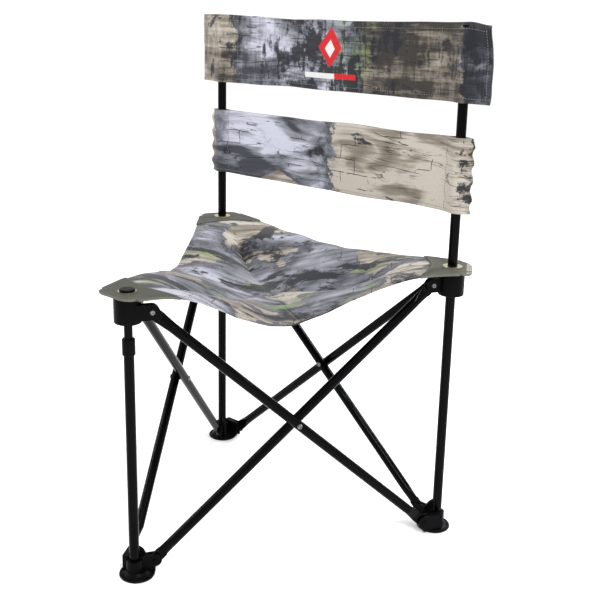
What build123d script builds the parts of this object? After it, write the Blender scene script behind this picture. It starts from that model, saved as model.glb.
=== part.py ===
"""Folding three leg stool with a fabric seat and a back of two fabric slings.

Millimetres, +Z up. The legs stand at the corners of an equilateral triangle: one at the front
(-Y) and two long posts at the rear. Two crossed bars join each pair of legs. The origin is on the
ground, under the middle of the whole object.
"""
import os
from math import atan2, cos, degrees, hypot, radians, sin, sqrt

from build123d import *

os.makedirs("parts", exist_ok=True)

# Frame
leg_spacing = 530.0         # between leg axes, standing open
foot_pivot_z = 22.0
hub_pivot_z = 442.0
ear_reach = 33.0            # leg axis to bar pivot, along the side of the triangle
outer_offset = 14.5         # outer bar of a side, outward from the plane of the leg axes
inner_offset = -2.5         # inner bar of a side
fold_angle = 40.0           # turn of each bar from open to folded

# Tubes
tube_r = 8.0
tube_wall = 1.2
post_bottom_z = 5.0
post_top_z = 850.0
inner_tube_r = 6.5          # sliding upper half of the front leg
inner_tube_bottom_z = 110.0
front_tube_top_z = 395.0
collar_r = 10.0
collar_bottom_z = 372.0
collar_top_z = 399.0

# Flattened bar ends
lobe_r = 9.5
flat_thickness = 4.0
flat_length = 18.0
round_from = 40.0           # pivot to where the bar is a round tube again
bar_gap = outer_offset - inner_offset - 2 * tube_r

# Clevises and rivets
clevis_gap = 4.4
ear_thickness = 3.5
hub_ear_r = 12.0
foot_ear_r = 10.5
ear_foundation_z = 4.0
web_from = 12.5             # pivot to the web behind the clevis
rivet_r = 2.5
rivet_hole_r = 2.55
rivet_head_r = 4.4
rivet_head_height = 1.8
rivet_dimple_r = 1.5
rivet_dimple_depth = 1.2
grip = clevis_gap / 2 + ear_thickness

# Hubs and feet
hub_r = 21.0
hub_below = 18.0
hub_above = 23.0
hub_neck_r = 17.0
hub_top_z = 467.2
slide_clearance = 0.3
foot_disc_r = 28.5
foot_inset = 5.0            # middle of the disc, inward of the leg axis
socket_r = 13.0
socket_top_z = 29.0
gusset_reach = 27.0         # rounded fin between a foot's clevises
gusset_top_z = 52.0
gusset_thickness = 5.0
foot_pin_r = 2.0
foot_pin_z = 19.0

# Seat
seat_top_z = 470.6
seat_thickness = 3.0
seat_centre_drop = 62.0
seat_flat_from = 280.0      # distance from the middle where the fabric is level again
corner_reach = 33.0         # fabric beyond the leg axis
corner_half_width = 32.0
side_inset = 8.0            # middle of each side, inside the line between the leg axes
patch_depth = 42.0          # patch edge, inward of the leg axis
fabric_gap = 0.3

# Back slings
upper_half_width = 314.0
upper_bottom_z = 734.0
upper_top_z = 858.0
upper_thickness = 24.0
upper_sleeve_from = 225.0
lower_half_width = 293.0
lower_bottom_z = 560.0
lower_top_z = 682.0
lower_thickness = 19.0
lower_sleeve_from = 236.0
panel_thickness = 7.0
post_clearance = 0.6

# The plan, with the origin moved to the middle of the outline
circle_r = leg_spacing / sqrt(3)
outline_front = -(circle_r + corner_reach)
outline_back = (circle_r + corner_reach) * sin(radians(30)) + corner_half_width * cos(radians(30))
centre = Vector(0, -(outline_front + outline_back) / 2, 0)
up = Vector(0, 0, 1)
bearing = {"front": -90.0, "right": 30.0, "left": 150.0}
outward = {leg: Vector(cos(radians(a)), sin(radians(a)), 0) for leg, a in bearing.items()}
leg_at = {leg: centre + outward[leg] * circle_r for leg in bearing}
outer_bars = [("front", "right"), ("right", "left"), ("left", "front")]
inner_bars = [("right", "front"), ("front", "left"), ("left", "right")]
bars = outer_bars + inner_bars


def offset_of(hub, foot):
    return outer_offset if (hub, foot) in outer_bars else inner_offset


def side_frame(hub, foot):
    """Unit vectors of a side: from the hub's leg to the foot's leg, and out of the triangle."""
    along = (leg_at[foot] - leg_at[hub]).normalized()
    out = along.cross(up)
    middle = (leg_at[foot] + leg_at[hub]) * 0.5 - centre
    return along, out if out.dot(middle) > 0 else out * -1


def pivots(hub, foot):
    along, out = side_frame(hub, foot)
    shift = out * offset_of(hub, foot)
    at_hub = leg_at[hub] + along * ear_reach + shift + up * hub_pivot_z
    at_foot = leg_at[foot] - along * ear_reach + shift + up * foot_pivot_z
    return at_hub, at_foot


def save(piece, node):
    piece.part.label = node
    export_step(piece.part, f"parts/{node}.step")


def clevis_planes(leg, at_foot):
    """One plane per clevis: origin on the pivot, x away from the leg, z along the rivet."""
    planes = []
    for hub, foot in bars:
        if leg == (foot if at_foot else hub):
            along, out = side_frame(hub, foot)
            pivot = pivots(hub, foot)[1 if at_foot else 0]
            planes.append(Plane(origin=pivot, x_dir=along * (-1 if at_foot else 1), z_dir=out))
    return planes


def add_ears(planes, ear_r, foundation_z=None):
    """Two plates and the web behind them, for each clevis; a foot's plates reach down to its disc."""
    for plane in planes:
        with BuildSketch(plane) as web:
            with Locations((-(ear_reach + web_from) / 2, 0)):
                Rectangle(ear_reach - web_from, 2 * ear_r)
        extrude(web.sketch, amount=clevis_gap / 2, both=True)
        for side in (-1, 1):
            middle = side * (clevis_gap + ear_thickness) / 2
            with BuildSketch(plane.offset(middle)) as ear:
                Circle(ear_r)
                with Locations((-ear_reach / 2, 0)):
                    Rectangle(ear_reach, 2 * ear_r)
                if foundation_z is not None:
                    drop = plane.origin.Z - foundation_z
                    below = -drop / 2 if plane.y_dir.Z > 0 else drop / 2
                    with Locations((-ear_reach / 2, below)):
                        Rectangle(ear_reach, drop)
            extrude(ear.sketch, amount=ear_thickness / 2, both=True)


def bore_ears(planes):
    for plane in planes:
        with BuildSketch(plane) as hole:
            Circle(rivet_r)
        extrude(hole.sketch, amount=grip, both=True, mode=Mode.SUBTRACT)


def add_rivet(plane, half_grip):
    with BuildSketch(plane) as shank:
        Circle(rivet_r)
    extrude(shank.sketch, amount=half_grip, both=True)
    for side in (-1, 1):
        head = Plane(origin=plane.origin + plane.z_dir * side * half_grip, z_dir=plane.z_dir * side)
        with BuildSketch(head) as rim:
            Circle(rivet_head_r)
        extrude(rim.sketch, amount=rivet_head_height, taper=28)
        with BuildSketch(head.offset(rivet_head_height - rivet_dimple_depth)) as dimple:
            Circle(rivet_dimple_r)
        extrude(dimple.sketch, amount=rivet_dimple_depth, mode=Mode.SUBTRACT)


def tube(at, bottom, top, radius, wall=tube_wall):
    with BuildPart() as pipe:
        with BuildSketch(Plane.XY.offset(bottom)):
            with Locations((at.X, at.Y)):
                Circle(radius)
                Circle(radius - wall, mode=Mode.SUBTRACT)
        extrude(amount=top - bottom)
    return pipe


def drill_foot_pin(leg, radius, mode):
    """The cross pin of a foot, from the socket's outer side to just past the tube."""
    start = leg_at[leg] + outward[leg] * socket_r + up * foot_pin_z
    with BuildSketch(Plane(origin=start, z_dir=outward[leg] * -1)) as section:
        Circle(radius)
    extrude(section.sketch, amount=socket_r + tube_r + 1.0, mode=mode)


def make_foot(leg):
    axis = leg_at[leg]
    disc = axis - outward[leg] * foot_inset
    ears = clevis_planes(leg, at_foot=True)
    with BuildPart() as foot:
        with BuildSketch(Plane(origin=disc, x_dir=(1, 0, 0), z_dir=(0, -1, 0))):
            with BuildLine():
                rim = Polyline((0, 0), (foot_disc_r - 2, 0))
                lip = ThreePointArc(rim @ 1, (foot_disc_r, 2.5), (foot_disc_r - 2, 5))
                Polyline(lip @ 1, (foot_disc_r - 4.5, 4.2), (foot_disc_r - 8, 6.5), (17, 10), (0, 12), (0, 0))
            make_face()
        revolve(axis=Axis(disc, (0, 0, 1)))
        with BuildSketch(Plane.XY):
            with Locations((axis.X, axis.Y)):
                Circle(socket_r)
        extrude(amount=socket_top_z)
        add_ears(ears, foot_ear_r, ear_foundation_z)
        across = up.cross(outward[leg])
        with BuildSketch(Plane(origin=axis, x_dir=outward[leg] * -1, z_dir=across)):
            with Locations((0, ear_foundation_z)):
                Ellipse(gusset_reach, gusset_top_z - ear_foundation_z)
            with Locations((gusset_reach / 2, ear_foundation_z + gusset_top_z / 2)):
                Rectangle(gusset_reach, gusset_top_z, mode=Mode.INTERSECT)
        extrude(amount=gusset_thickness / 2, both=True)
        with BuildSketch(Plane.XY.offset(post_bottom_z)):
            with Locations((axis.X, axis.Y)):
                Circle(tube_r)
        extrude(amount=100, mode=Mode.SUBTRACT)
        bore_ears(ears)
        drill_foot_pin(leg, foot_pin_r, Mode.SUBTRACT)
    save(foot, f"foot_{leg}")
    with BuildPart() as rivets:
        for plane in ears:
            add_rivet(plane, grip)
    save(rivets, f"foot_rivets_{leg}")
    with BuildPart() as pin:
        drill_foot_pin(leg, foot_pin_r, Mode.ADD)
    save(pin, f"foot_pin_{leg}")


def make_hub(leg):
    axis = leg_at[leg]
    bore_r = inner_tube_r if leg == "front" else tube_r + slide_clearance
    ears = clevis_planes(leg, at_foot=False)
    with BuildPart() as hub:
        with BuildSketch(Plane.XY.offset(hub_pivot_z - hub_below)):
            with Locations((axis.X, axis.Y)):
                Circle(hub_r)
        extrude(amount=hub_below + hub_above)
        chamfer(hub.edges().group_by(Axis.Z)[-1], 3)
        fillet(hub.edges().group_by(Axis.Z)[0], 2)
        with BuildSketch(Plane.XY.offset(hub_pivot_z)):
            with Locations((axis.X, axis.Y)):
                Circle(hub_neck_r)
        extrude(amount=hub_top_z - hub_pivot_z)
        add_ears(ears, hub_ear_r)
        with BuildSketch(Plane.XY.offset(hub_pivot_z - hub_below - 1)):
            with Locations((axis.X, axis.Y)):
                Circle(bore_r)
        extrude(amount=hub_top_z, mode=Mode.SUBTRACT)
        bore_ears(ears)
    save(hub, f"hub_{leg}")
    with BuildPart() as rivets:
        for plane in ears:
            add_rivet(plane, grip)
    save(rivets, f"hub_rivets_{leg}")


def make_bar(hub, foot):
    at_hub, at_foot = pivots(hub, foot)
    out = side_frame(hub, foot)[1]
    length = (at_hub - at_foot).length
    direction = (at_hub - at_foot).normalized()
    with BuildPart() as bar:
        with BuildSketch(Plane(origin=at_foot + direction * round_from, x_dir=out, z_dir=direction)):
            Circle(tube_r)
        extrude(amount=length - 2 * round_from)
        for end, inward in ((at_foot, direction), (at_hub, direction * -1)):
            with BuildSketch(Plane(origin=end, x_dir=inward, z_dir=out)):
                Circle(lobe_r)
                with Locations((flat_length / 2, 0)):
                    Rectangle(flat_length, 2 * lobe_r)
            extrude(amount=flat_thickness / 2, both=True)
            with BuildSketch(Plane(origin=end + inward * flat_length, x_dir=out, z_dir=inward)):
                Ellipse(flat_thickness / 2, lobe_r)
            with BuildSketch(Plane(origin=end + inward * round_from, x_dir=out, z_dir=inward)):
                Circle(tube_r)
            loft()
        with BuildSketch(Plane(origin=at_foot + direction * round_from, z_dir=direction)):
            Circle(tube_r - tube_wall)
        extrude(amount=length - 2 * round_from, mode=Mode.SUBTRACT)
        for point in (at_foot, at_hub, (at_foot + at_hub) * 0.5):
            with BuildSketch(Plane(origin=point, z_dir=out)):
                Circle(rivet_hole_r)
            extrude(amount=2 * tube_r, both=True, mode=Mode.SUBTRACT)
    save(bar, f"bar_{hub}_hub_{foot}_foot")


def make_crossing(first, second):
    """Long rivet and spacer where the two bars of one side cross."""
    along, out = side_frame(first, second)
    middle = (leg_at[first] + leg_at[second]) * 0.5 + up * (hub_pivot_z + foot_pivot_z) / 2
    centre_line = Plane(origin=middle + out * (outer_offset + inner_offset) / 2, z_dir=out)
    with BuildPart() as rivet:
        add_rivet(centre_line, tube_r * 2 + bar_gap / 2)
    save(rivet, f"crossing_rivet_{first}_{second}")
    with BuildPart() as spacer:
        with BuildSketch(centre_line):
            Circle(rivet_head_r)
            Circle(rivet_hole_r, mode=Mode.SUBTRACT)
        extrude(amount=bar_gap / 2 - 0.05, both=True)
    save(spacer, f"crossing_spacer_{first}_{second}")


def make_grommet(leg):
    axis = leg_at[leg]
    hole_r = inner_tube_r if leg == "front" else tube_r + slide_clearance
    flange_r = hole_r + 7.5
    with BuildPart() as grommet:
        for bottom, top, radius in ((hub_top_z, seat_top_z + 1.6, hole_r + 2.0),
                                    (seat_top_z + 0.2, seat_top_z + 1.6, flange_r)):
            with BuildSketch(Plane.XY.offset(bottom)):
                with Locations((axis.X, axis.Y)):
                    Circle(radius)
                    Circle(hole_r, mode=Mode.SUBTRACT)
            extrude(amount=top - bottom)
    save(grommet, f"grommet_{leg}")


def make_posts():
    for leg in ("right", "left"):
        axis = leg_at[leg]
        with BuildPart() as post:
            add(tube(axis, post_bottom_z, post_top_z, tube_r).part)
            drill_foot_pin(leg, foot_pin_r, Mode.SUBTRACT)
        save(post, f"post_{leg}")
        with BuildPart() as plug:
            with BuildSketch(Plane.XY.offset(post_top_z)):
                with Locations((axis.X, axis.Y)):
                    Circle(tube_r)
            extrude(amount=2.5)
            with BuildSketch(Plane.XY.offset(post_top_z)):
                with Locations((axis.X, axis.Y)):
                    Circle(tube_r - tube_wall)
            extrude(amount=-15)
        save(plug, f"post_plug_{leg}")


def make_front_leg():
    axis = leg_at["front"]
    with BuildPart() as lower:
        add(tube(axis, post_bottom_z, front_tube_top_z, tube_r).part)
        drill_foot_pin("front", foot_pin_r, Mode.SUBTRACT)
    save(lower, "front_leg_tube")
    save(tube(axis, inner_tube_bottom_z, hub_top_z, inner_tube_r), "front_leg_inner_tube")
    with BuildPart() as collar:
        with BuildSketch(Plane.XY.offset(collar_bottom_z)):
            with Locations((axis.X, axis.Y)):
                Circle(collar_r)
        extrude(amount=collar_top_z - collar_bottom_z)
        chamfer(collar.edges(), 1.5)
        for bottom, top, radius in ((collar_bottom_z, front_tube_top_z, tube_r),
                                    (front_tube_top_z, collar_top_z, inner_tube_r + 0.2)):
            with BuildSketch(Plane.XY.offset(bottom)):
                with Locations((axis.X, axis.Y)):
                    Circle(radius)
            extrude(amount=top - bottom, mode=Mode.SUBTRACT)
    save(collar, "front_leg_collar")
    with BuildPart() as cap:
        with BuildSketch(Plane.XY.offset(seat_top_z + 1.6)):
            with Locations((axis.X, axis.Y)):
                Circle(12)
        extrude(amount=3.2)
        fillet(cap.edges().group_by(Axis.Z)[-1], 2)
        with BuildSketch(Plane.XY.offset(hub_top_z)):
            with Locations((axis.X, axis.Y)):
                Circle(inner_tube_r)
        extrude(amount=seat_top_z + 1.6 - hub_top_z)
        with BuildSketch(Plane.XY.offset(hub_top_z)):
            with Locations((axis.X, axis.Y)):
                Circle(inner_tube_r - tube_wall)
        extrude(amount=-18)
    save(cap, "front_cap")


def seat_outline():
    """Triangle with cut corners and sides that curve inward."""
    order = ("front", "right", "left")
    ends = {}
    for leg in order:
        tip = centre + outward[leg] * (circle_r + corner_reach)
        across = up.cross(outward[leg]) * corner_half_width
        ends[leg] = (tip - across, tip + across)
    for leg, after in zip(order, order[1:] + order[:1]):
        Line(ends[leg][0], ends[leg][1])
        side = (leg_at[leg] + leg_at[after]) * 0.5
        side = side - (side - centre).normalized() * side_inset
        ThreePointArc(ends[leg][1], side, ends[after][0])


def seat_dish():
    """Sagging sheet, level at the corners, cut to the seat's outline."""
    with BuildPart() as dish:
        with BuildSketch(Plane(origin=centre, x_dir=(1, 0, 0), z_dir=(0, -1, 0))):
            with BuildLine():
                low = seat_top_z - seat_centre_drop
                sag = Spline((0, low), (seat_flat_from, seat_top_z), tangents=((1, 0), (1, 0)))
                flat = Line(sag @ 1, (circle_r + 60, seat_top_z))
                drop = Line(flat @ 1, (circle_r + 60, seat_top_z - seat_thickness))
                under = Line(drop @ 1, (seat_flat_from, seat_top_z - seat_thickness))
                hollow = Spline(under @ 1, (0, low - seat_thickness), tangents=((-1, 0), (-1, 0)))
                Line(hollow @ 1, sag @ 0)
            make_face()
        revolve(axis=Axis(centre, (0, 0, 1)))
        with BuildSketch(Plane.XY.offset(300)):
            with BuildLine(Plane.XY):
                seat_outline()
            make_face()
        extrude(amount=300, mode=Mode.INTERSECT)
    return dish.part


def make_seat():
    dish = seat_dish()
    cut = circle_r - patch_depth
    with BuildPart() as panel:
        add(dish)
        for leg in bearing:
            split(bisect_by=Plane(origin=centre + outward[leg] * (cut - fabric_gap), z_dir=outward[leg]),
                  keep=Keep.BOTTOM)
    save(panel, "seat_panel")
    for leg in bearing:
        axis = leg_at[leg]
        hole_r = (inner_tube_r if leg == "front" else tube_r + slide_clearance) + 2.3
        with BuildPart() as patch:
            add(dish)
            split(bisect_by=Plane(origin=centre + outward[leg] * cut, z_dir=outward[leg]), keep=Keep.TOP)
            with BuildSketch(Plane.XY.offset(hub_top_z - 5)):
                with Locations((axis.X, axis.Y)):
                    Circle(hole_r)
            extrude(amount=20, mode=Mode.SUBTRACT)
        save(patch, f"seat_corner_{leg}")


def make_sling(name, half_width, bottom, top, thickness, sleeve_from, pocket_top):
    post_y = leg_at["right"].Y
    width = half_width - sleeve_from
    for leg, side in (("right", 1), ("left", -1)):
        axis = leg_at[leg]
        with BuildPart() as sleeve:
            with BuildSketch(Plane.XY.offset(bottom)):
                with Locations((side * (sleeve_from + width / 2), post_y)):
                    RectangleRounded(width, thickness, thickness / 2 - 1)
            extrude(amount=top - bottom)
            with BuildSketch(Plane.XY.offset(bottom)):
                with Locations((axis.X, axis.Y)):
                    Circle(tube_r + post_clearance)
            extrude(amount=pocket_top - bottom, mode=Mode.SUBTRACT)
        save(sleeve, f"{name}_sleeve_{leg}")
    with BuildPart() as panel:
        with BuildSketch(Plane.XY.offset(bottom)):
            with Locations((0, post_y)):
                Rectangle(2 * (sleeve_from - fabric_gap), panel_thickness)
        extrude(amount=top - bottom)
    save(panel, f"{name}_panel")


for leg_name in bearing:
    make_foot(leg_name)
    make_hub(leg_name)
    make_grommet(leg_name)
for hub_leg, foot_leg in bars:
    make_bar(hub_leg, foot_leg)
for hub_leg, foot_leg in outer_bars:
    make_crossing(hub_leg, foot_leg)
make_posts()
make_front_leg()
make_seat()
make_sling("upper_sling", upper_half_width, upper_bottom_z, upper_top_z, upper_thickness,
           upper_sleeve_from, post_top_z + 4)
make_sling("lower_sling", lower_half_width, lower_bottom_z, lower_top_z, lower_thickness,
           lower_sleeve_from, lower_top_z)

span = leg_spacing - 2 * ear_reach
rise = hub_pivot_z - foot_pivot_z
bar_length = hypot(span, rise)
lean = degrees(atan2(span, rise))
folded = radians(lean - fold_angle)
print("bar length", round(bar_length, 2), "lean", round(lean, 3))
print("folded leg spacing", round(2 * ear_reach + bar_length * sin(folded), 2))
print("hub rise", round(bar_length * cos(folded) - rise, 2))
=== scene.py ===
from math import atan2, cos, exp, hypot, pi, radians, sin, sqrt

import bpy
from mathutils import Matrix, Vector, noise


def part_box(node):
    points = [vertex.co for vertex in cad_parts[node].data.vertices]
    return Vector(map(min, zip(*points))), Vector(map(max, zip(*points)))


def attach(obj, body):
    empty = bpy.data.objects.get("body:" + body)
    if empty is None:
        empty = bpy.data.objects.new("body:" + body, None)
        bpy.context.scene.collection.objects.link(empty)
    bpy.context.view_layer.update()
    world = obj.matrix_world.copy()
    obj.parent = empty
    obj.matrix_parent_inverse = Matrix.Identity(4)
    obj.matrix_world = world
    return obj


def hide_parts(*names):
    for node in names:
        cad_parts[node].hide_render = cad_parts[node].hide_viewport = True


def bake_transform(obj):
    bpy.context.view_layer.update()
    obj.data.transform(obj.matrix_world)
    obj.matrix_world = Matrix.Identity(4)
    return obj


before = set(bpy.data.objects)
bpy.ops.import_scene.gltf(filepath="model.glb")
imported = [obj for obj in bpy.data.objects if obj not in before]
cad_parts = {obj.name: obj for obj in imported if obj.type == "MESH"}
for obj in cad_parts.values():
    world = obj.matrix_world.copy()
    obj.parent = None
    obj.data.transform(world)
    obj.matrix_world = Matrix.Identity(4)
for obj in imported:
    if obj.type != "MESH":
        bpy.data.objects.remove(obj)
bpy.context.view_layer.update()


# ---------------------------------------------------------------- places from the frame

def axis_of(node):
    low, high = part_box(node)
    return Vector(((low[0] + high[0]) / 2, (low[1] + high[1]) / 2))


LEGS = {"right": axis_of("post_right"), "left": axis_of("post_left"), "front": axis_of("front_leg_tube")}
MIDDLE = (LEGS["right"] + LEGS["left"] + LEGS["front"]) / 3
LEG_CIRCLE = (LEGS["right"] - MIDDLE).length
BEARING = {"front": radians(-90), "right": radians(30), "left": radians(150)}
SEAT_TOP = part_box("seat_corner_front")[1][2]
POST_RADIUS = (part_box("post_right")[1][0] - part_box("post_right")[0][0]) / 2

# Seat cloth
CLOTH = 0.0010
VINYL = 0.0014
CORNER_REACH = 0.031
CORNER_HALF_WIDTH = 0.036
CORNER_ROUND = 0.017
SIDE_INSET = -0.014
CENTRE_DROP = 0.066
SIDE_DROP = {"back": 0.010, "front_left": 0.034, "front_right": 0.066}
DIP_SWING = {"back": 0.0, "front_left": 0.0, "front_right": 0.16}     # radians towards the front corner
DROP_SHAPE = {"back": 1.2, "front_left": 2.2, "front_right": 1.3}   # higher: the dip is narrower
SIDE_BEARING = {"back": radians(90), "front_left": radians(210), "front_right": radians(-30)}
SEAT_RIPPLE = 0.006
SEAT_CREASE = 0.0018
PATCH_DEPTH = 0.036          # leg axis to the inner edge of a corner patch
PATCH_BOW = 0.014            # how much further its inner edge reaches at the two sides
PATCH_TILT = {"front": 0.05, "right": -0.16, "left": 0.02}     # slope of the free tip
TIP_BEYOND_LEG = 0.014       # where the free tip starts
STITCH_LIFT = 0.0003         # stitches above the cloth
HEM_INSETS = (0.004, 0.0105)
TAPE_HALF_WIDTH = 0.0010
TAPE_HALF_HEIGHT = 0.0018


def smooth(value, low, high):
    t = min(1.0, max(0.0, (value - low) / (high - low)))
    return t * t * (3 - 2 * t)


# ---------------------------------------------------------------- shader writing

class Flow:
    """A number on a link. Arithmetic on it adds Math nodes."""

    def __init__(self, paint, socket):
        self.paint = paint
        self.socket = socket

    def __add__(self, other):
        return self.paint.math("ADD", self, other)

    def __sub__(self, other):
        return self.paint.math("SUBTRACT", self, other)

    def __rsub__(self, other):
        return self.paint.math("SUBTRACT", other, self)

    def __mul__(self, other):
        return self.paint.math("MULTIPLY", self, other)

    def __truediv__(self, other):
        return self.paint.math("DIVIDE", self, other)

    __radd__ = __add__
    __rmul__ = __mul__

    def size(self):
        return self.paint.math("ABSOLUTE", self, 0.0)

    def most(self, other):
        return self.paint.math("MAXIMUM", self, other)


class Paint:
    """One procedural material."""

    def __init__(self, name, **fixed):
        self.material = bpy.data.materials.new(name)
        self.material.use_nodes = True
        self.tree = self.material.node_tree
        self.shader = self.tree.nodes["Principled BSDF"]
        for socket, value in fixed.items():
            self.shader.inputs[socket.replace("_", " ")].default_value = value

    def node(self, kind, settings=None, **sockets):
        made = self.tree.nodes.new(kind)
        for key, value in (settings or {}).items():
            setattr(made, key, value)
        for key, value in sockets.items():
            self.feed(made.inputs[int(key[1:]) if key[0] == "i" and key[1:].isdigit() else key], value)
        return made

    def feed(self, socket, value):
        if isinstance(value, Flow):
            self.tree.links.new(value.socket, socket)
        elif isinstance(value, bpy.types.NodeSocket):
            self.tree.links.new(value, socket)
        else:
            socket.default_value = value

    def math(self, operation, a, b):
        made = self.node("ShaderNodeMath", {"operation": operation}, i0=a, i1=b)
        return Flow(self, made.outputs[0])

    def step(self, value, low, high):
        made = self.node("ShaderNodeMapRange", {"interpolation_type": "SMOOTHSTEP"},
                         i0=value, i1=low, i2=high)
        return Flow(self, made.outputs[0])

    def mix(self, factor, a, b):
        made = self.node("ShaderNodeMix", {"data_type": "RGBA"}, i0=factor, i6=a, i7=b)
        return made.outputs[2]

    def noise(self, place, scale, detail=3.0, rough=0.55, twist=0.0):
        made = self.node("ShaderNodeTexNoise", None, Vector=place, Scale=scale, Detail=detail,
                         Roughness=rough, Distortion=twist)
        return Flow(self, made.outputs[0])

    def stretch(self, place, scale, move=(0, 0, 0)):
        return self.node("ShaderNodeMapping", None, i0=place, i1=move, i3=scale).outputs[0]

    def object_place(self):
        return self.node("ShaderNodeTexCoord").outputs["Object"]

    def cloth_place(self):
        return self.node("ShaderNodeUVMap", {"uv_map": "cloth"}).outputs[0]

    def apart(self, place):
        made = self.node("ShaderNodeSeparateXYZ", None, i0=place)
        return [Flow(self, out) for out in made.outputs]

    def bump(self, height, distance, strength=1.0):
        made = self.node("ShaderNodeBump", None, Strength=strength, Distance=distance, Height=height)
        self.feed(self.shader.inputs["Normal"], made.outputs[0])

    def colour(self, value):
        self.feed(self.shader.inputs["Base Color"], value)

    def roughness(self, value):
        self.feed(self.shader.inputs["Roughness"], value)


def rgb(red, green, blue):
    """Linear colour from 0-255 display values."""
    def linear(v):
        v /= 255
        return v / 12.92 if v <= 0.04045 else ((v + 0.055) / 1.055) ** 2.4
    return (linear(red), linear(green), linear(blue), 1.0)


# ---------------------------------------------------------------- materials

def black_enamel():
    paint = Paint("black_enamel", IOR=1.14)
    place = paint.object_place()
    mottle = paint.noise(place, 60.0, 4.0)
    scuffs = paint.step(paint.noise(paint.stretch(place, (1, 1, 0.25)), 180.0, 2.0), 0.68, 0.76)
    paint.colour(paint.mix(scuffs * 0.25, rgb(2, 2, 3), rgb(24, 24, 26)))
    paint.roughness(0.08 + mottle * 0.08 + scuffs * 0.15)
    paint.bump(paint.noise(place, 420.0, 3.0), 0.00012, 0.3)
    return paint.material


def black_moulding():
    paint = Paint("black_moulding", IOR=1.12)
    place = paint.object_place()
    cloud = paint.noise(place, 35.0, 3.0)
    dust = paint.step(paint.noise(place, 120.0, 5.0), 0.60, 0.74)
    paint.colour(paint.mix(cloud * 0.4 + dust * 0.15, rgb(2, 2, 3), rgb(18, 18, 20)))
    paint.roughness(0.30 + cloud * 0.16)
    paint.bump(paint.noise(place, 900.0, 2.0), 0.00015, 0.5)
    return paint.material


def zinc(name, light, dark):
    paint = Paint(name, Metallic=1.0)
    place = paint.object_place()
    cloud = paint.noise(place, 220.0, 4.0)
    tarnish = paint.step(paint.noise(place, 90.0, 5.0), 0.5, 0.7)
    paint.colour(paint.mix(cloud * 0.4 + tarnish * 0.6, light, dark))
    paint.roughness(0.24 + cloud * 0.2 + tarnish * 0.12)
    paint.bump(cloud, 0.0001, 0.4)
    return paint.material


def coated_vinyl(name, light, dark):
    paint = Paint(name, Specular_IOR_Level=0.4)
    place = paint.cloth_place()
    cloud = paint.noise(place, 26.0, 4.0)
    across, along, _ = paint.apart(place)
    weave = paint.math("SINE", across * 2600.0, 0.0) * paint.math("SINE", along * 2600.0, 0.0)
    paint.colour(paint.mix(cloud * 0.8 + weave * 0.12, dark, light))
    paint.roughness(0.60 + cloud * 0.14)
    paint.bump(weave * 0.5 + paint.noise(place, 300.0, 3.0), 0.00035, 0.6)
    return paint.material


def thread(name, tone):
    paint = Paint(name, Sheen_Weight=0.3)
    place = paint.object_place()
    paint.colour(paint.mix(paint.noise(place, 900.0, 2.0), tone, rgb(120, 118, 112)))
    paint.roughness(0.8 + paint.noise(place, 500.0) * 0.1)
    return paint.material


LAVENDER = rgb(172, 173, 186)
SLATE = rgb(116, 118, 126)
SHADOW = rgb(46, 49, 56)
BARK_LIGHT = rgb(164, 157, 147)
BARK = rgb(114, 106, 95)
BARK_DARK = rgb(44, 40, 35)
CHARCOAL = rgb(20, 21, 27)
MOSS = rgb(112, 134, 78)
RED = rgb(172, 20, 24)
WHITE = rgb(192, 192, 192)
BADGE_HEIGHT = 0.012         # middle of the diamond, from the middle of the sling
BAR_HEIGHT = -0.036
BAR_HALF_LENGTH = 0.056


class Print:
    """The fields every print is mixed from, in flat cloth coordinates."""

    def __init__(self, paint, turn, scale):
        self.paint = paint
        self.place = paint.node("ShaderNodeMapping", None, i0=paint.cloth_place(), i2=(0, 0, turn),
                                i3=(scale, scale, 1)).outputs[0]
        self.across, self.along, _ = paint.apart(self.place)
        self.ragged = self.noise((1, 1, 1), 30.0, 8.0, 0.72) - 0.5
        self.soft = self.noise((1, 2.4, 1), 7.0, 3.0, 0.5, 0.9)
        self.flow = self.noise((1.6, 15, 1), 2.4, 5.0, 0.6, 1.4)
        self.grain = self.noise((3, 46, 1), 1.8, 7.0, 0.68, 0.5)
        self.upright = self.noise((34, 5, 1), 1.8, 6.0, 0.66, 0.6)

    def noise(self, stretch, scale, detail, rough, twist=0.0, move=(0, 0, 0)):
        return self.paint.noise(self.paint.stretch(self.place, stretch, move), scale, detail, rough, twist)

    def inside(self, middle, half):
        """Positive between two ragged lines across the cloth, growing inwards."""
        edge = self.across + self.ragged * 0.11
        return (half - (edge - middle).size()) * 4

    def outlines(self, width, height, amount):
        """Thin broken rectangles."""
        wobble = self.paint.node("ShaderNodeCombineXYZ", None, i0=self.across + self.ragged * 0.006,
                                 i1=self.along + self.ragged * 0.008).outputs[0]
        bricks = self.paint.node("ShaderNodeTexBrick", None, Vector=wobble, Scale=1.0)
        bricks.inputs["Mortar Size"].default_value = 0.0009
        bricks.inputs["Mortar Smooth"].default_value = 0.3
        bricks.inputs["Brick Width"].default_value = width
        bricks.inputs["Row Height"].default_value = height
        gate = self.paint.step(self.noise((1, 1.5, 1), 11.0, 3.0, 0.6, 0.0, (3, 8, 0)), 0.53, 0.57)
        return Flow(self.paint, bricks.outputs["Fac"]) * gate * amount

    def veins(self, reach, amount):
        """Thin wandering cracks."""
        field = self.noise((2.2, 15, 1), 2.2, 4.0, 0.5, 1.3, (1, 5, 0)) - 0.5
        gate = self.paint.step(self.noise((1, 1, 1), 9.0, 2.0, 0.5, 0.0, (6, 2, 0)), 0.44, 0.56)
        return (1 - self.paint.step(field.size(), reach * 0.3, reach)) * gate * amount


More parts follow.
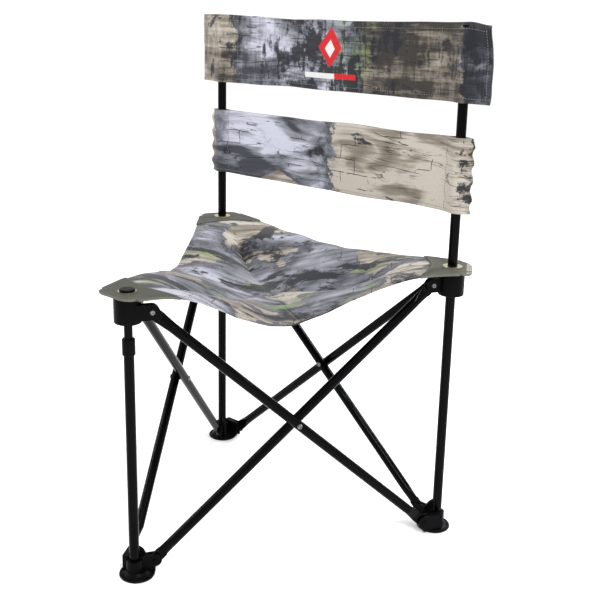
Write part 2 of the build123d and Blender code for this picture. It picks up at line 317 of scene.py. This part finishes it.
def printed_cloth(name, layout, turn=0.0, scale=1.0, badge=False):
    """Painted camouflage: weathered grey areas, bare wood, dark smudges, thin cracks, a little moss."""
    paint = Paint(name, Sheen_Weight=0.15, Specular_IOR_Level=0.15)
    art = Print(paint, turn, scale)
    wood_field, dark, moss, tone = layout(paint, art)
    pale_tone = art.soft * 0.85 + art.flow * 0.45 + art.grain * 0.20 + tone
    pale = paint.mix(paint.step(pale_tone, 0.56, 0.74), SHADOW, SLATE)
    pale = paint.mix(paint.step(pale_tone, 0.70, 0.88), pale, LAVENDER)
    wood_tone = art.grain * 0.55 + art.flow * 0.45 + art.soft * 0.5 + tone
    wood = paint.mix(paint.step(wood_tone, 0.54, 0.72), BARK_DARK, BARK)
    wood = paint.mix(paint.step(wood_tone, 0.70, 0.88), wood, BARK_LIGHT)
    edge = wood_field
    bark = paint.step(edge, 0.0, 0.012)
    colour = paint.mix(bark, pale, wood)
    shade = paint.step(edge, -0.19, -0.01) * (1 - bark) * paint.step(art.soft + art.ragged * 0.5, 0.36, 0.52)
    colour = paint.mix(shade * 0.82, colour, CHARCOAL)
    colour = paint.mix(paint.step(moss + art.flow * 0.3 - 0.15, 0.0, 0.10) * 0.62, colour, MOSS)
    colour = paint.mix(paint.step(dark + art.ragged * 0.30, 0.0, 0.07) * 0.96, colour, CHARCOAL)
    dry = paint.step(art.grain + art.ragged * 0.3, 0.60, 0.70)
    colour = paint.mix(dry * 0.5, colour, CHARCOAL)
    colour = paint.mix(art.veins(0.014, 0.85).most(art.outlines(0.062, 0.024, 0.85)), colour, CHARCOAL)
    place = paint.cloth_place()
    across, along, _ = paint.apart(place)
    if badge:
        colour = add_badge(paint, across, along, colour)
    weave = paint.noise(paint.stretch(place, (700, 160, 1)), 1.0, 1.0) * 0.5 \
        + paint.noise(paint.stretch(place, (160, 700, 1)), 1.0, 1.0) * 0.5
    colour = paint.mix((1 - paint.step(weave, 0.3, 0.7)) * 0.14, colour, rgb(60, 60, 66))
    paint.colour(colour)
    paint.roughness(0.80 + art.grain * 0.12)
    paint.bump(weave, 0.0005, 0.5)
    return paint.material


def add_badge(paint, across, along, colour):
    """A plain diamond over a two-tone bar."""
    lift = along - BADGE_HEIGHT
    diamond = 1 - paint.step((across.size() / 0.026) + (lift.size() / 0.034), 0.97, 1.03)
    inner = 1 - paint.step((across.size() / 0.011) + ((lift + 0.002).size() / 0.015), 0.95, 1.05)
    bar_length = 1 - paint.step(across.size(), BAR_HALF_LENGTH - 0.0005, BAR_HALF_LENGTH + 0.0005)
    bar_width = 1 - paint.step((along - BAR_HEIGHT).size(), 0.0042, 0.0050)
    colour = paint.mix(diamond, colour, RED)
    colour = paint.mix(inner, colour, WHITE)
    two_tone = paint.mix(paint.step(across, 0.0095, 0.0105), WHITE, RED)
    return paint.mix(bar_length * bar_width, colour, two_tone)


def seat_layout(paint, art):
    blobs = art.noise((1, 1.5, 1), 6.5, 2.0, 0.5, 0.3, (4, 4, 0)) + art.ragged * 0.22
    smudge = art.noise((1, 1.8, 1), 9.0, 6.0, 0.62, 0.7, (7, 2, 0))
    moss = art.noise((1, 1.8, 1), 9.0, 3.0, 0.5, 0.4, (2, 9, 0)) - 0.62
    return blobs - 0.535, smudge - 0.512, moss + 0.03, art.ragged * 0.16 + 0.02


def upper_layout(paint, art):
    wood = art.inside(0.165, 0.100).most(art.inside(-0.300, 0.074))
    smudge = art.noise((1, 1.6, 1), 8.0, 6.0, 0.62, 0.9, (7, 2, 0)) * 0.6 + art.upright * 0.4
    right_end = paint.step(art.across + art.ragged * 0.04, 0.262, 0.270) * 0.05
    middle = paint.step(art.inside(0.010, 0.070), -0.05, 0.05) * 0.045
    moss = art.upright * 0.5 + paint.step(art.inside(0.04, 0.05), -0.05, 0.05) * 0.22 - 0.44
    brown = paint.step(art.across, 0.06, 0.09) * -0.12
    return wood, smudge + middle + right_end - 0.515, moss, art.upright * 0.5 - 0.27 + brown


def lower_layout(paint, art):
    right = art.inside(0.200, 0.190)
    reach = ((art.across + 0.115) / 0.052).size() + ((art.along + 0.060) / 0.022).size()
    scrap = (1 - reach + art.ragged * 0.8) * 0.25
    wood = right.most(scrap).most(art.inside(-0.33, 0.052))
    smudge = art.noise((1, 1.9, 1), 9.0, 6.0, 0.62, 0.9, (7, 2, 0))
    right_end = paint.step(art.across + art.ragged * 0.12, 0.255, 0.305) * 0.12
    lit = paint.step(right, -0.05, 0.05) * 0.11
    return wood, smudge + right_end - 0.610, art.soft * 0.0 - 1.0, lit + (art.soft - 0.5) * 0.55


ENAMEL = black_enamel()
MOULDING = black_moulding()
RIVET = zinc("rivet_steel", rgb(120, 120, 122), rgb(46, 46, 50))
BRASS = zinc("grommet_metal", rgb(206, 196, 168), rgb(122, 110, 84))
OLIVE = coated_vinyl("olive_vinyl", rgb(74, 75, 64), rgb(46, 48, 40))
BINDING = coated_vinyl("edge_binding", rgb(104, 104, 92), rgb(64, 64, 56))
SEAT_PRINT = printed_cloth("seat_print", seat_layout, radians(-35), 1.05)
UPPER_PRINT = printed_cloth("upper_sling_print", upper_layout, badge=True)
LOWER_PRINT = printed_cloth("lower_sling_print", lower_layout)
THREAD = thread("hem_thread", rgb(70, 68, 62))


# ---------------------------------------------------------------- mesh helpers

def grid_piece(name, rows, cols, point, flat, material, thickness=CLOTH, closed=False):
    """A sheet of cloth from point(i, j) with its flat place in the UV map."""
    verts = [point(i / rows, j / cols) for i in range(rows + 1) for j in range(cols + (0 if closed else 1))]
    wide = cols if closed else cols + 1
    faces = []
    places = []
    for i in range(rows):
        for j in range(cols):
            after = (j + 1) % wide
            faces.append((i * wide + j, i * wide + after, (i + 1) * wide + after, (i + 1) * wide + j))
            places += [flat(i / rows, j / cols), flat(i / rows, (j + 1) / cols),
                       flat((i + 1) / rows, (j + 1) / cols), flat((i + 1) / rows, j / cols)]
    mesh = bpy.data.meshes.new(name)
    mesh.from_pydata(verts, [], faces)
    layer = mesh.uv_layers.new(name="cloth")
    for loop, place in zip(layer.data, places):
        loop.uv = place
    for polygon in mesh.polygons:
        polygon.use_smooth = True
    mesh.materials.append(material)
    piece = bpy.data.objects.new(name, mesh)
    bpy.context.collection.objects.link(piece)
    if thickness:
        wall = piece.modifiers.new("wall", "SOLIDIFY")
        wall.thickness = thickness
        wall.offset = 0.0
    return piece


def stitch_tree(material):
    """Stitches along a path: named sizes in, realised capsules out."""
    tree = bpy.data.node_groups.new("stitches", "GeometryNodeTree")
    face = tree.interface
    face.new_socket("Path", in_out="INPUT", socket_type="NodeSocketGeometry")
    for name, value in (("Spacing", 0.0045), ("Stitch length", 0.0030), ("Thread radius", 0.00045)):
        socket = face.new_socket(name, in_out="INPUT", socket_type="NodeSocketFloat")
        socket.default_value = value
    face.new_socket("Stitches", in_out="OUTPUT", socket_type="NodeSocketGeometry")

    def add(kind, **settings):
        node = tree.nodes.new(kind)
        for key, value in settings.items():
            setattr(node, key, value)
        return node

    start = add("NodeGroupInput")
    end = add("NodeGroupOutput")
    curve = add("GeometryNodeMeshToCurve")
    spaced = add("GeometryNodeResampleCurve", mode="LENGTH")
    tangent = add("GeometryNodeInputTangent")
    turn = add("FunctionNodeAlignRotationToVector", axis="X")
    ball = add("GeometryNodeMeshIcoSphere")
    ball.inputs["Radius"].default_value = 1.0
    ball.inputs["Subdivisions"].default_value = 2
    half = add("ShaderNodeMath", operation="MULTIPLY")
    half.inputs[1].default_value = 0.5
    size = add("ShaderNodeCombineXYZ")
    place = add("GeometryNodeInstanceOnPoints")
    real = add("GeometryNodeRealizeInstances")
    paint = add("GeometryNodeSetMaterial")
    paint.inputs["Material"].default_value = material
    link = tree.links.new
    link(start.outputs["Path"], curve.inputs["Mesh"])
    link(curve.outputs["Curve"], spaced.inputs["Curve"])
    link(start.outputs["Spacing"], spaced.inputs["Length"])
    link(tangent.outputs["Tangent"], turn.inputs["Vector"])
    link(spaced.outputs["Curve"], place.inputs["Points"])
    link(ball.outputs["Mesh"], place.inputs["Instance"])
    link(turn.outputs["Rotation"], place.inputs["Rotation"])
    link(start.outputs["Stitch length"], half.inputs[0])
    link(half.outputs[0], size.inputs["X"])
    link(start.outputs["Thread radius"], size.inputs["Y"])
    link(start.outputs["Thread radius"], size.inputs["Z"])
    link(size.outputs[0], place.inputs["Scale"])
    link(place.outputs["Instances"], real.inputs["Geometry"])
    link(real.outputs["Geometry"], paint.inputs["Geometry"])
    link(paint.outputs["Geometry"], end.inputs["Stitches"])
    return tree


STITCHES = stitch_tree(THREAD)


def stitch_piece(name, paths):
    """Rows of stitches along the given lists of points, as one plain mesh."""
    verts, edges = [], []
    for path in paths:
        edges += [(len(verts) + k, len(verts) + k + 1) for k in range(len(path) - 1)]
        verts += path
    mesh = bpy.data.meshes.new(name + "_path")
    mesh.from_pydata(verts, edges, [])
    guide = bpy.data.objects.new(name + "_path", mesh)
    bpy.context.collection.objects.link(guide)
    maker = guide.modifiers.new("stitches", "NODES")
    maker.node_group = STITCHES
    bpy.context.view_layer.update()
    seen = guide.evaluated_get(bpy.context.evaluated_depsgraph_get())
    made = bpy.data.meshes.new_from_object(seen)
    bpy.data.objects.remove(guide)
    for polygon in made.polygons:
        polygon.use_smooth = True
    piece = bpy.data.objects.new(name, made)
    bpy.context.collection.objects.link(piece)
    return piece


# ---------------------------------------------------------------- seat

SIDE_MID = LEG_CIRCLE / 2 - SIDE_INSET
TIP = LEG_CIRCLE + CORNER_REACH
ALONG_SIDE = TIP * cos(radians(60)) + CORNER_HALF_WIDTH * sin(radians(60))
SIDE_RADIUS = (TIP ** 2 + CORNER_HALF_WIDTH ** 2 - 2 * SIDE_MID * ALONG_SIDE + SIDE_MID ** 2) \
    / (2 * (ALONG_SIDE - SIDE_MID))
SIDE_CENTRE = SIDE_MID + SIDE_RADIUS


def side_point(t):
    """Along one side from its middle (0) to the cut corner (1), in the corner's own axes."""
    centre = Vector((cos(radians(60)), sin(radians(60)))) * SIDE_CENTRE
    end = Vector((TIP, CORNER_HALF_WIDTH)) - centre
    first = atan2(-sin(radians(60)), -cos(radians(60)))
    angle = first + (atan2(end.y, end.x) - first) * t
    return centre + Vector((cos(angle), sin(angle))) * SIDE_RADIUS


def half_width(out):
    """Half the seat's width at a distance from its middle towards a corner."""
    low, high = 0.0, 1.0
    for _ in range(30):
        mid = (low + high) / 2
        low, high = (mid, high) if side_point(mid).x < out else (low, mid)
    return side_point(low).y


def trimmed(out):
    """Half width of a corner with its two points rounded off."""
    past = out - (TIP - CORNER_ROUND)
    if past <= 0:
        return half_width(out)
    arc = sqrt(max(0.0, CORNER_ROUND ** 2 - past ** 2))
    return min(half_width(min(out, TIP - 1e-5)), CORNER_HALF_WIDTH - CORNER_ROUND + arc)


def rim_radius(angle):
    """Distance from the seat's middle to its edge at a bearing."""
    away = min(abs((angle - b + pi) % (2 * pi) - pi) for b in SIDE_BEARING.values())
    reach = SIDE_CENTRE * cos(away)
    return reach - sqrt(max(0.0, reach ** 2 - SIDE_CENTRE ** 2 + SIDE_RADIUS ** 2))


def seat_height(x, y):
    """Middle surface of the seat cloth over a point measured from the seat's middle."""
    r, angle = hypot(x, y), atan2(y, x)
    share = min(1.0, r / max(rim_radius(angle), 1e-6))
    rim_drop = 0.0
    for side, bearing in SIDE_BEARING.items():
        swing = (angle - bearing + pi) % (2 * pi) - pi
        away = abs(swing + DIP_SWING[side] * cos(1.5 * swing))
        if abs(swing) < radians(60):
            rim_drop = SIDE_DROP[side] * cos(1.5 * away) ** DROP_SHAPE[side]
    near = min((Vector((x, y)) + MIDDLE - leg).length for leg in LEGS.values())
    level = smooth(near, 0.030, 0.170)
    blend = smooth(share, 0.0, 1.0)
    drop = (CENTRE_DROP * (1 - blend) + rim_drop * blend) * level
    ripple = SEAT_RIPPLE * noise.noise(Vector((x * 9, y * 9, 3.1)))
    ripple += SEAT_CREASE * noise.noise(Vector((x * 24, y * 24, 8.4)))
    curl = SEAT_RIPPLE * smooth(share, 0.86, 1.0) * noise.noise(Vector((angle * 4.0, 1.7, 0.3)))
    return SEAT_TOP - VINYL - CLOTH / 2 - drop + (ripple + curl) * smooth(near, 0.06, 0.16)


def corner_axes(leg):
    a = BEARING[leg]
    return Vector((cos(a), sin(a))), Vector((-sin(a), cos(a)))


def on_seat(leg, out, across, lift=0.0):
    ahead, aside = corner_axes(leg)
    plan = ahead * out + aside * across
    return (MIDDLE.x + plan.x, MIDDLE.y + plan.y, seat_height(plan.x, plan.y) + lift)


def seat_sector(leg):
    """One third of the seat, from the seat's middle to a corner, between the middles of two sides."""
    turn = 0.90                      # share of the rim that is the side; the rest is the cut corner
    middle_side = side_point(0.0)

    def rim(t, hand):
        point = side_point(t / turn) if t < turn else \
            Vector((TIP, CORNER_HALF_WIDTH * (1 - (t - turn) / (1 - turn))))
        return Vector((point.x, point.y * hand))

    def plan(a, b):
        start_a = Vector((middle_side.x, middle_side.y))
        start_b = Vector((middle_side.x, -middle_side.y))
        corner = Vector((TIP, 0.0))
        lines = (1 - b) * (start_a * a) + b * rim(a, -1) + (1 - a) * (start_b * b) + a * rim(b, 1)
        return lines - (a * (1 - b) * start_a + b * (1 - a) * start_b + a * b * corner)

    def point(a, b):
        p = plan(a, b)
        if p.x > TIP - CORNER_ROUND:
            wide = trimmed(p.x)
            p.y = max(-wide, min(wide, p.y))
        return on_seat(leg, p.x, p.y)

    def flat(a, b):
        p = plan(a, b)
        ahead, aside = corner_axes(leg)
        return tuple(ahead * p.x + aside * p.y)

    return grid_piece(f"seat_cloth_{leg}", 60, 60, point, flat, SEAT_PRINT)


def tip_curl(leg, out):
    """Rise of a patch's free tip, past the leg."""
    return PATCH_TILT[leg] * max(0.0, out - LEG_CIRCLE - TIP_BEYOND_LEG)


def seat_patch(leg):
    """Vinyl corner patch: follows the seat's edge, with a bowed inner edge."""
    overhang = 0.0012

    def plan(a, b):
        side = 2 * b - 1
        inner = LEG_CIRCLE - PATCH_DEPTH - PATCH_BOW * side ** 2
        out = TIP + overhang + (inner - TIP - overhang) * a ** 1.5
        return out, side * (trimmed(min(out, TIP)) + overhang)

    def point(a, b):
        out, across = plan(a, b)
        return on_seat(leg, min(out, TIP), across, CLOTH / 2 + VINYL / 2 + tip_curl(leg, out))

    def flat(a, b):
        return plan(a, b)

    patch = grid_piece(f"seat_patch_{leg}", 24, 24, point, flat, OLIVE, VINYL)
    border = [plan(0.0, k / 20) for k in range(21)] + [plan(k / 20, 1.0) for k in range(1, 21)] \
        + [plan(1.0, 1 - k / 20) for k in range(1, 21)] + [plan(1 - k / 20, 0.0) for k in range(1, 20)]
    inset = 0.0045
    centre = Vector((LEG_CIRCLE - 0.01, 0.0))
    path = []
    for out, across in border + border[:1]:
        p = Vector((out, across))
        p = p + (centre - p).normalized() * inset
        path.append(on_seat(leg, p.x, p.y, CLOTH / 2 + VINYL + 0.0002))
    return patch, stitch_piece(f"patch_stitches_{leg}", [path])


def binding_strip(leg, hand):
    """Folded tape round the outer edge of a corner patch, one side at a time."""
    def centre_line(t):
        if t < 0.3:
            return Vector((TIP + 0.001, hand * (CORNER_HALF_WIDTH - CORNER_ROUND) * t / 0.3))
        out = TIP + 0.001 - ((t - 0.3) / 0.7) ** 2 * (CORNER_REACH + PATCH_DEPTH + 0.012)
        return Vector((out, hand * (trimmed(min(out, TIP)) + 0.001)))

    def point(a, b):
        line = centre_line(a)
        turn = 2 * pi * b
        outwards = Vector((1.0, 0.0)) if a < 0.3 else Vector((0.25, hand)).normalized()
        spread = outwards * TAPE_HALF_WIDTH * cos(turn)
        base = on_seat(leg, min(line.x, TIP), line.y, VINYL / 2)
        ahead, aside = corner_axes(leg)
        shift = ahead * spread.x + aside * spread.y
        lift = TAPE_HALF_HEIGHT * sin(turn) + tip_curl(leg, line.x)
        return (base[0] + shift.x, base[1] + shift.y, base[2] + lift)

    def flat(a, b):
        return (a * 0.12, b * 0.01)

    name = f"patch_binding_{leg}_{'a' if hand > 0 else 'b'}"
    return grid_piece(name, 60, 10, point, flat, BINDING, thickness=0.0, closed=True)


BODY_OF_CORNER = {"right": "hub_right", "left": "seat_left", "front": "seat_front"}


def make_seat():
    for leg in ("right", "left", "front"):
        body = BODY_OF_CORNER[leg]
        cloth = seat_sector(leg)
        hem = []
        for hand in (1, -1):
            for inset in HEM_INSETS:
                path = []
                for k in range(61):
                    p = side_point(k / 60 * 0.86)
                    q = Vector((p.x, hand * p.y))
                    inward = Vector((-cos(radians(60)), -hand * sin(radians(60))))
                    q = q + inward * inset
                    path.append(on_seat(leg, q.x, q.y, CLOTH / 2 + STITCH_LIFT))
                hem.append(path)
        stitches = stitch_piece(f"seat_hem_stitches_{leg}", hem)
        for piece in (cloth, stitches):
            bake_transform(piece)
        patch, sewing = seat_patch(leg)
        tapes = [binding_strip(leg, 1), binding_strip(leg, -1)]
        for piece in [patch, sewing] + tapes:
            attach(piece, body)
        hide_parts(f"seat_corner_{leg}")
        if leg == "right":
            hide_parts("seat_panel")
        [sewing] + tapes


def sector_area():
    """Flat area of a third of the seat, by strips towards the corner."""
    steps = 200
    total = 0.0
    for k in range(steps):
        out = TIP * (k + 0.5) / steps
        width = half_width(out) if out > side_point(0).x else out * sqrt(3)
        total += 2 * width * TIP / steps
    return total


SECTOR_AREA = sector_area()


# ---------------------------------------------------------------- back slings

POST_X = abs(LEGS["right"].x)
POST_Y = LEGS["right"].y
CROWN = 0.0035               # rounded top of the upper sling
EDGE_WAVE = 0.0022           # rise and fall of the upper sling's long edges
END_RIPPLE = 0.0045          # scalloped ends of the lower sling
GATHERS = 4.3                # folds up each end of the lower sling
HEM_REACH = 0.985            # share of the lower sling that its hem stitches cover


def bulge(x, flat_gap, clearance):
    """Half the space between the two layers of a sling: narrow, but round the posts wide."""
    off = (abs(x) - POST_X) / 0.0165
    return flat_gap + (POST_RADIUS + clearance - flat_gap) * exp(-off * off)


def calm(x):
    """Falls to nothing at the posts, so that the ripples of a sling never cut a post."""
    off = (abs(x) - POST_X) / 0.026
    return 1 - exp(-off * off)


def upper_sling():
    low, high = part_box("upper_sling_sleeve_left")[0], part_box("upper_sling_sleeve_right")[1]
    bottom, top = low[2] + 0.001, high[2] - 0.001
    reach = high[0] - 0.002
    height = top - bottom

    def along(a):
        return -reach + 2 * reach * a

    def wave(x, z_share):
        return calm(x) * (0.0034 * noise.noise(Vector((x * 7, z_share * 1.2, 2.0)))
                          + 0.0014 * noise.noise(Vector((x * 22, z_share * 3.0, 5.0))))

    def point(a, b):
        x = along(a)
        gap = bulge(x, 0.0016, 0.0018)
        edge = smooth(abs(x), reach - 0.012, reach)
        if b < 0.47:
            layer, share = -1, b / 0.47
        elif b > 0.53:
            layer, share = 1, (1 - b) / 0.47
        else:
            layer, share = -cos(pi * (b - 0.47) / 0.06), 1.0
        lip = sin(pi * (b - 0.47) / 0.06) * CROWN if 0.47 <= b <= 0.53 else 0.0
        tuck = 0.35 + 0.65 * min(1.0, (1 - share) / 0.06)
        spread = gap * (tuck if share < 1 else 0.35)
        sag = 0.0035 * (1 - (x / POST_X) ** 2) if abs(x) < POST_X else 0.0
        z = bottom + (height - CROWN) * share + lip - sag * share
        z += EDGE_WAVE * noise.noise(Vector((x * 11, 0.4, 1.0))) * (2 * share - 1)
        corner = smooth(x, reach - 0.045, reach) * smooth(share, 0.6, 1.0)
        z -= 0.005 * corner
        y = POST_Y + layer * spread * (1 - 0.5 * edge) + wave(x, share) - 0.010 * corner
        return (x - 0.002 * noise.noise(Vector((share * 4, x * 0.1, 7.0))), y, z)

    def flat(a, b):
        return (along(a), (2 * b - 0.5) * height)

    cloth = grid_piece("upper_sling_cloth", 180, 96, point, flat, UPPER_PRINT)
    rows = []
    for b in (0.030, 0.445, 0.555, 0.970):
        out = -1 if b < 0.5 else 1
        rows.append([lifted(point(k / 240, b), out) for k in range(3, 238)])
    for a in (0.012, 0.145, 0.855, 0.988):
        for first, last, out in ((0.03, 0.45, -1), (0.55, 0.97, 1)):
            rows.append([lifted(point(a, first + (last - first) * k / 60), out) for k in range(61)])
    stitches = stitch_piece("upper_sling_stitches", rows)
    for piece in (cloth, stitches):
        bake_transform(piece)
    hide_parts("upper_sling_panel", "upper_sling_sleeve_left", "upper_sling_sleeve_right")


def lifted(point, side):
    return (point[0], point[1] + side * (CLOTH / 2 + STITCH_LIFT), point[2])


def lower_sling():
    low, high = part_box("lower_sling_sleeve_left")[0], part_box("lower_sling_sleeve_right")[1]
    bottom, top = low[2] + 0.001, high[2] - 0.001
    reach = high[0] - 0.001
    height = top - bottom

    def layer_point(x_share, share, layer):
        end_ripple = END_RIPPLE * abs(sin(pi * share * GATHERS + 0.6))
        end_ripple += 0.002 * noise.noise(Vector((share * 9, 3.0, 1.0)))
        x = x_share * (reach - end_ripple)
        near_end = smooth(abs(x_share), 0.80, 1.0)
        gap = bulge(x, 0.0015, 0.0018) * (1 - smooth(abs(x_share), 0.965, 1.0)) + 0.0006
        gather = 0.0030 * near_end * calm(x) * sin(2 * pi * share * GATHERS + 1.1)
        wave = 0.0030 * calm(x) * noise.noise(Vector((x * 6, share * 1.3, 9.0)))
        z = bottom + height * share + 0.0024 * noise.noise(Vector((x * 9, share, 4.0)))
        return (x, POST_Y + layer * gap + gather + wave, z)

    def point(a, b):
        if b < 0.5:
            return layer_point(-cos(pi * b / 0.5), a, -1)
        return layer_point(cos(pi * (b - 0.5) / 0.5), a, 1)

    def flat(a, b):
        x = -cos(pi * b / 0.5) if b < 0.5 else cos(pi * (b - 0.5) / 0.5)
        return (x * reach, (a - 0.5) * height + (0 if b < 0.5 else 3 * height))

    cloth = grid_piece("lower_sling_cloth", 44, 320, point, flat, LOWER_PRINT, closed=True)
    rows = []
    for layer in (-1, 1):
        for share in (0.045, 0.955):
            rows.append([lifted(layer_point(HEM_REACH * (k / 120 - 1), share, layer), layer)
                         for k in range(241)])
        for x_share in (-0.845, 0.845):
            rows.append([lifted(layer_point(x_share, 0.05 + 0.9 * k / 60, layer), layer) for k in range(61)])
    stitches = stitch_piece("lower_sling_stitches", rows)
    for piece in (cloth, stitches):
        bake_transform(piece)
    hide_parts("lower_sling_panel", "lower_sling_sleeve_left", "lower_sling_sleeve_right")


# ---------------------------------------------------------------- finishes on the frame's own nodes

def finish_for(node):
    if node.startswith(("foot_rivets", "foot_pin")):
        return MOULDING
    if "rivet" in node:
        return RIVET
    if node.startswith("grommet"):
        return BRASS
    if node.startswith(("bar_", "front_leg_tube", "front_leg_inner", "post_left", "post_right")):
        return ENAMEL
    return MOULDING


def dress_nodes():
    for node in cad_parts:
        if node.startswith(("seat_", "upper_sling", "lower_sling")):
            continue
        made = bpy.data.objects[node]
        for slot in made.material_slots:
            slot.material = finish_for(node)


# ---------------------------------------------------------------- studio

def area_light(name, place, aim, size, power):
    data = bpy.data.lights.new(name, "AREA")
    data.shape = "RECTANGLE"
    data.size, data.size_y = size
    data.energy = power
    made = bpy.data.objects.new(name, data)
    made.location = place
    made.rotation_euler = (Vector(aim) - Vector(place)).to_track_quat("-Z", "Y").to_euler()
    bpy.context.collection.objects.link(made)


def make_studio():
    floor = bpy.data.meshes.new("floor")
    floor.from_pydata([(-30, -30, 0), (30, -30, 0), (30, 30, 0), (-30, 30, 0)], [], [(0, 1, 2, 3)])
    pale = Paint("pale_floor", Specular_IOR_Level=0.2)
    pale.colour(pale.mix(pale.noise(pale.object_place(), 2.0), rgb(246, 246, 246), rgb(249, 249, 249)))
    pale.roughness(0.9)
    floor.materials.append(pale.material)
    ground = bpy.data.objects.new("floor", floor)
    bpy.context.collection.objects.link(ground)
    world = bpy.data.worlds.new("studio")
    world.use_nodes = True
    world.node_tree.nodes["Background"].inputs[0].default_value = (1.0, 1.0, 1.0, 1.0)
    world.node_tree.nodes["Background"].inputs[1].default_value = 1.10
    bpy.context.scene.world = world
    area_light("key", (2.2, -1.2, 2.4), (0, 0, 0.4), (0.16, 1.8), 75)
    area_light("fill", (-2.4, -1.8, 1.6), (0, 0, 0.4), (0.12, 1.8), 40)
    area_light("rim", (0.9, 2.6, 2.2), (0, 0, 0.5), (0.14, 1.6), 75)


CAMERA_PLACE = Vector((1.0529, -1.1576, 0.8831))       # from the middle of the three legs
CAMERA_TURN = (-42.1, 15.13, 0.8)                      # yaw, pitch down, roll, degrees


def make_camera():
    yaw, pitch, roll = (radians(angle) for angle in CAMERA_TURN)
    ahead = Vector((sin(yaw) * cos(pitch), cos(yaw) * cos(pitch), -sin(pitch)))
    right = Vector((cos(yaw), -sin(yaw), 0.0))
    above = right.cross(ahead)
    level = right * cos(roll) + above * sin(roll)
    upright = -right * sin(roll) + above * cos(roll)
    data = bpy.data.cameras.new("camera")
    data.lens = 57.45
    data.sensor_width = 36
    data.shift_x = 0.0474
    data.shift_y = -0.0663
    made = bpy.data.objects.new("camera", data)
    turn = Matrix((level, upright, -ahead)).transposed().to_4x4()
    made.matrix_world = Matrix.Translation(CAMERA_PLACE + MIDDLE.to_3d()) @ turn
    bpy.context.collection.objects.link(made)
    bpy.context.scene.camera = made


make_camera()
make_studio()
bpy.context.scene.view_settings.view_transform = "Standard"
make_seat()
upper_sling()
lower_sling()
dress_nodes()
